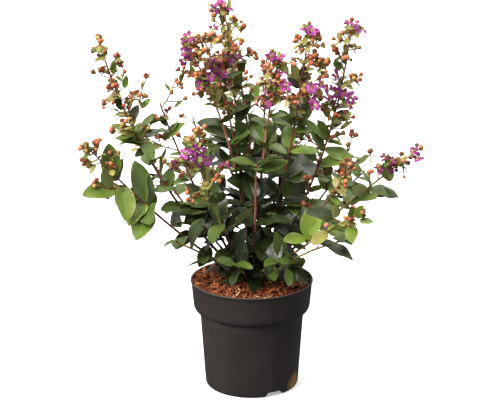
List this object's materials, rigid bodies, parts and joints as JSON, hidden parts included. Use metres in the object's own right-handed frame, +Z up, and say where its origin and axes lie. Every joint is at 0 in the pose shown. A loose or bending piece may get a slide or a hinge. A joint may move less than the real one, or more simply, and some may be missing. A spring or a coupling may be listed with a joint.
{
  "type": "potted crape myrtle",
  "caption": "Many-stemmed crape myrtle in a round plastic nursery pot, with bud heads and magenta blossom at the tips.",
  "frame": {"origin": "middle of the pot's flat underside, at the height of the surface it stands on", "axes": "+Z up, +X to the right and +Y to the back as the picture shows it"},
  "size_m": [0.5203, 0.3046, 0.6135],
  "materials": {
    "pot_plastic": "satin",
    "soil": "matte",
    "bark_mulch": "matte",
    "bark": "matte",
    "leaf": "satin"
  },
  "bodies": {
    "root": {"bark_mulch": "bark_mulch", "cane_back_left": "bark", "cane_back_left_far": "bark", "cane_back_left_mid": "bark", "cane_back_right": "bark", "cane_back_right_far": "bark", "cane_back_right_mid": "bark", "cane_centre_right": "bark", "cane_front_left": "bark", "cane_front_right": "bark", "cane_high_left": "bark", "cane_inner_left": "bark", "cane_left_centre": "bark", "cane_left_crown": "bark", "cane_low_left": "bark", "cane_low_left_front": "bark", "cane_low_right_front": "bark", "cane_mid_crown": "bark", "cane_right": "bark", "cane_right_branch": "bark", "cane_right_low": "bark", "cane_right_mid": "bark", "cane_tall_centre": "bark", "cane_upper_middle": "bark", "foliage_back_left": "leaf", "foliage_back_left_far": "leaf", "foliage_back_left_mid": "leaf", "foliage_back_right": "leaf", "foliage_back_right_far": "leaf", "foliage_back_right_mid": "leaf", "foliage_centre_right": "leaf", "foliage_front_left": "leaf", "foliage_front_right": "leaf", "foliage_heart_front": "leaf", "foliage_high_left": "leaf", "foliage_inner_left": "leaf", "foliage_left_centre": "leaf", "foliage_left_crown": "leaf", "foliage_low_left": "leaf", "foliage_low_left_front": "leaf", "foliage_low_right_front": "leaf", "foliage_mid_crown": "leaf", "foliage_right": "leaf", "foliage_right_branch": "leaf", "foliage_right_low": "leaf", "foliage_right_mid": "leaf", "foliage_skirt_left": "leaf", "foliage_skirt_right": "leaf", "foliage_tall_centre": "leaf", "foliage_upper_middle": "leaf", "pot": "pot_plastic", "soil": "soil", "stool": "bark"}
  },
  "joints": []
}
